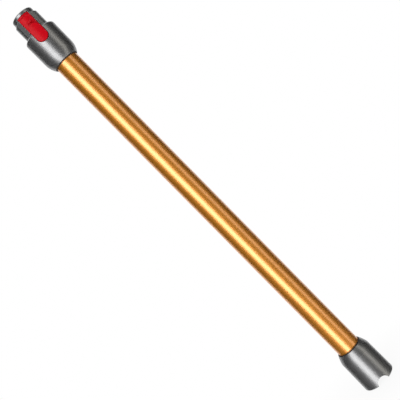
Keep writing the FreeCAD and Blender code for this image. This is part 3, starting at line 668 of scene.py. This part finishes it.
class WAND_OT_fasteners(bpy.types.Operator):
    """Dress the rivets, the screws and the pivot pin"""

    bl_idname = "wand.fasteners"
    bl_label = "Fasteners"

    def execute(self, context):
        rivets = ("upper_tube_rivets", "lower_tube_rivets")
        screws = ("contact_block_screws", "socket_block_screw")
        dress((*rivets, *screws, "button_pivot_pin"), "steel")
        return {"FINISHED"}


class WAND_OT_spring(bpy.types.Operator):
    """Wind the coil spring under the thumb pad"""

    bl_idname = "wand.spring"
    bl_label = "Button spring"

    def execute(self, context):
        low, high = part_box("button_spring")
        level = level_of("button_spring")
        tree = Shape(
            "coil_spring",
            Radius=(high.x - low.x) / 2 - SPRING_WIRE,
            Height=high.y - low.y - 2 * SPRING_WIRE,
            Wire=SPRING_WIRE,
            Turns=SPRING_TURNS,
            Seat=high.y - SPRING_WIRE,
            Level=level,
        )
        spring = tree.finished(tree.coil(), "steel", ROUND_CREASE)
        stands_for(spring, "button_spring")
        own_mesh(spring)
        return {"FINISHED"}


# Stage


def around(turn, reach, height):
    """A point round the wand: the turn is from the front towards -X."""
    return Vector((-reach * math.sin(turn), -reach * math.cos(turn), height))


def add_sheet(name, spots, faces, material):
    """A thin sheet of the studio, which is not part of the wand."""
    mesh = bpy.data.meshes.new(name)
    mesh.from_pydata(spots, [], faces)
    mesh.materials.append(material)
    holder = bpy.data.objects.new(name, mesh)
    bpy.context.scene.collection.objects.link(holder)
    return holder


def floor_finish(shade_share):
    """White floor: the camera sees white, with a share of the paper's real shading round the wand's foot."""
    material = bpy.data.materials.new("white_floor")
    material.use_nodes = True
    tree = material.node_tree
    tree.nodes.remove(tree.nodes["Principled BSDF"])
    build = Builder(tree)
    rays = build.add("ShaderNodeLightPath").socket.node
    camera, glossy, through = (
        Socket(build, rays.outputs[f"Is {kind} Ray"]) for kind in ("Camera", "Glossy", "Transmission")
    )
    seen = (camera + glossy + through).at_most(1.0)
    place = build.add("ShaderNodeTexCoord", output="Object")
    reach = build.add("ShaderNodeVectorMath", {"operation": "LENGTH"}, {0: place}, output="Value")
    near = (1.0 - reach / SHADE_REACH).at_least(0.0)
    white = build.add("ShaderNodeEmission", None, {"Color": WHITE, "Strength": 1.0})
    paper = build.add("ShaderNodeBsdfDiffuse", None, {"Color": PAPER})
    factor = seen * (1.0 - shade_share * near)
    mix = build.add("ShaderNodeMixShader", None, {0: factor, 1: paper, 2: white})
    build.feed(tree.nodes["Material Output"].inputs["Surface"], mix)
    return material


def card_finish():
    """Dark card with no gloss of its own."""
    matt = {"Base Color": CARD, "Roughness": 1.0, "Specular IOR Level": 0.0}
    return Finish("dark_card", matt).material


class WAND_OT_studio(bpy.types.Operator):
    """Set the floor, the dark cards, the lamps, the white surround and the camera"""

    bl_idname = "wand.studio"
    bl_label = "Studio"

    def execute(self, context):
        scene = context.scene
        studio = scene.wand_studio
        scene.view_settings.view_transform = "Standard"
        self.surround(scene)
        self.floor(studio)
        self.cards()
        self.lamps(scene, studio)
        self.camera(scene, studio)
        return {"FINISHED"}

    def surround(self, scene):
        world = bpy.data.worlds.new("white_surround")
        world.use_nodes = True
        background = world.node_tree.nodes["Background"]
        background.inputs["Color"].default_value = WHITE
        background.inputs["Strength"].default_value = 1.0
        scene.world = world

    def floor(self, studio):
        """The lamps and the cards reach below the floor, so it blocks no light and no reflection of them."""
        signs = ((-1, -1), (1, -1), (1, 1), (-1, 1))
        spots = [(x * FLOOR_HALF, y * FLOOR_HALF, 0.0) for x, y in signs]
        floor = add_sheet("floor", spots, [(0, 1, 2, 3)], floor_finish(studio.floor_shade))
        floor.visible_glossy = False
        floor.visible_shadow = False

    def cards(self):
        """A dark sheet that the camera looks through, for the dark bands between the wand's highlights."""
        spots = []
        for height, span in CARD_ROWS:
            for step in range(CARD_STEPS + 1):
                turn = math.radians(span) * (2 * step / CARD_STEPS - 1)
                spots.append(around(turn, CARD_REACH, height))
        row = CARD_STEPS + 1
        faces = [
            (low + step, low + step + 1, low + row + step + 1, low + row + step)
            for low in range(0, row * (len(CARD_ROWS) - 1), row)
            for step in range(CARD_STEPS)
        ]
        cards = add_sheet("dark_cards", spots, faces, card_finish())
        cards.visible_camera = False

    def lamps(self, scene, studio):
        """Two tall soft boxes that face the wand, each with its own settings."""
        for name in ("key", "side"):
            turn, strength, lean, width, tint = (
                getattr(studio, f"{name}_{part}") for part in ("angle", "power", "lean", "width", "tint")
            )
            lamp = bpy.data.lights.new(name, "AREA")
            lamp.color = tint
            lamp.shape = "RECTANGLE"
            lamp.size = width
            lamp.size_y = studio.lamp_height
            lamp.energy = strength
            holder = bpy.data.objects.new(name, lamp)
            scene.collection.objects.link(holder)
            place = around(turn, LAMP_REACH, studio.lamp_level)
            aim = Vector((0.0, 0.0, studio.lamp_level))
            facing = (aim - place).to_track_quat("-Z", "Y").to_matrix().to_4x4()
            holder.matrix_world = Matrix.Translation(place) @ facing @ Matrix.Rotation(lean, 4, "Z")

    def camera(self, scene, studio):
        """A camera in front of the wand, rolled so that the upright wand lies across the picture."""
        data = bpy.data.cameras.new("photo")
        data.lens = studio.lens / MM
        data.sensor_width = SENSOR
        holder = bpy.data.objects.new("photo", data)
        scene.collection.objects.link(holder)
        right = Vector((1.0, 0.0, 0.0))
        ahead = Vector((0.0, math.cos(studio.tilt), -math.sin(studio.tilt)))
        above = right.cross(ahead)
        across = math.cos(studio.roll) * right - math.sin(studio.roll) * above
        upward = math.sin(studio.roll) * right + math.cos(studio.roll) * above
        frame_of_view = Matrix((across, upward, -ahead)).transposed().to_4x4()
        aim = Vector((studio.aim_side, 0.0, studio.aim_height))
        stand = Matrix.Translation(aim - studio.distance * ahead)
        holder.matrix_world = Matrix.Rotation(-studio.turn, 4, "Z") @ stand @ frame_of_view
        scene.camera = holder


# Add-on


class WAND_PT_panel(bpy.types.Panel):
    """Lists the wand's pieces and settings in the sidebar"""

    bl_idname = "WAND_PT_panel"
    bl_label = "Vacuum wand"
    bl_space_type = "VIEW_3D"
    bl_region_type = "UI"
    bl_category = "Wand"

    def draw(self, context):
        column = self.layout.column()
        for group, settings in GROUPS.items():
            for name in settings.__annotations__:
                column.prop(getattr(context.scene, group), name)
        for operator in OPERATORS:
            column.operator(operator.bl_idname)


GROUPS = {"wand_colours": WandColours, "wand_finish": WandFinish, "wand_studio": WandStudio}
OPERATORS = (
    WAND_OT_finishes,
    WAND_OT_tube,
    WAND_OT_collars,
    WAND_OT_socket,
    WAND_OT_button,
    WAND_OT_contacts,
    WAND_OT_seals,
    WAND_OT_fasteners,
    WAND_OT_spring,
    WAND_OT_studio,
)


def register():
    for cls in (*GROUPS.values(), *OPERATORS, WAND_PT_panel):
        bpy.utils.register_class(cls)
    for name, group in GROUPS.items():
        setattr(bpy.types.Scene, name, PointerProperty(type=group))


def unregister():
    for name in GROUPS:
        delattr(bpy.types.Scene, name)
    for cls in (WAND_PT_panel, *reversed(OPERATORS), *GROUPS.values()):
        bpy.utils.unregister_class(cls)


def main():
    register()
    for operator in OPERATORS:
        family, name = operator.bl_idname.split(".")
        getattr(getattr(bpy.ops, family), name)()


if __name__ == "__main__":
    main()
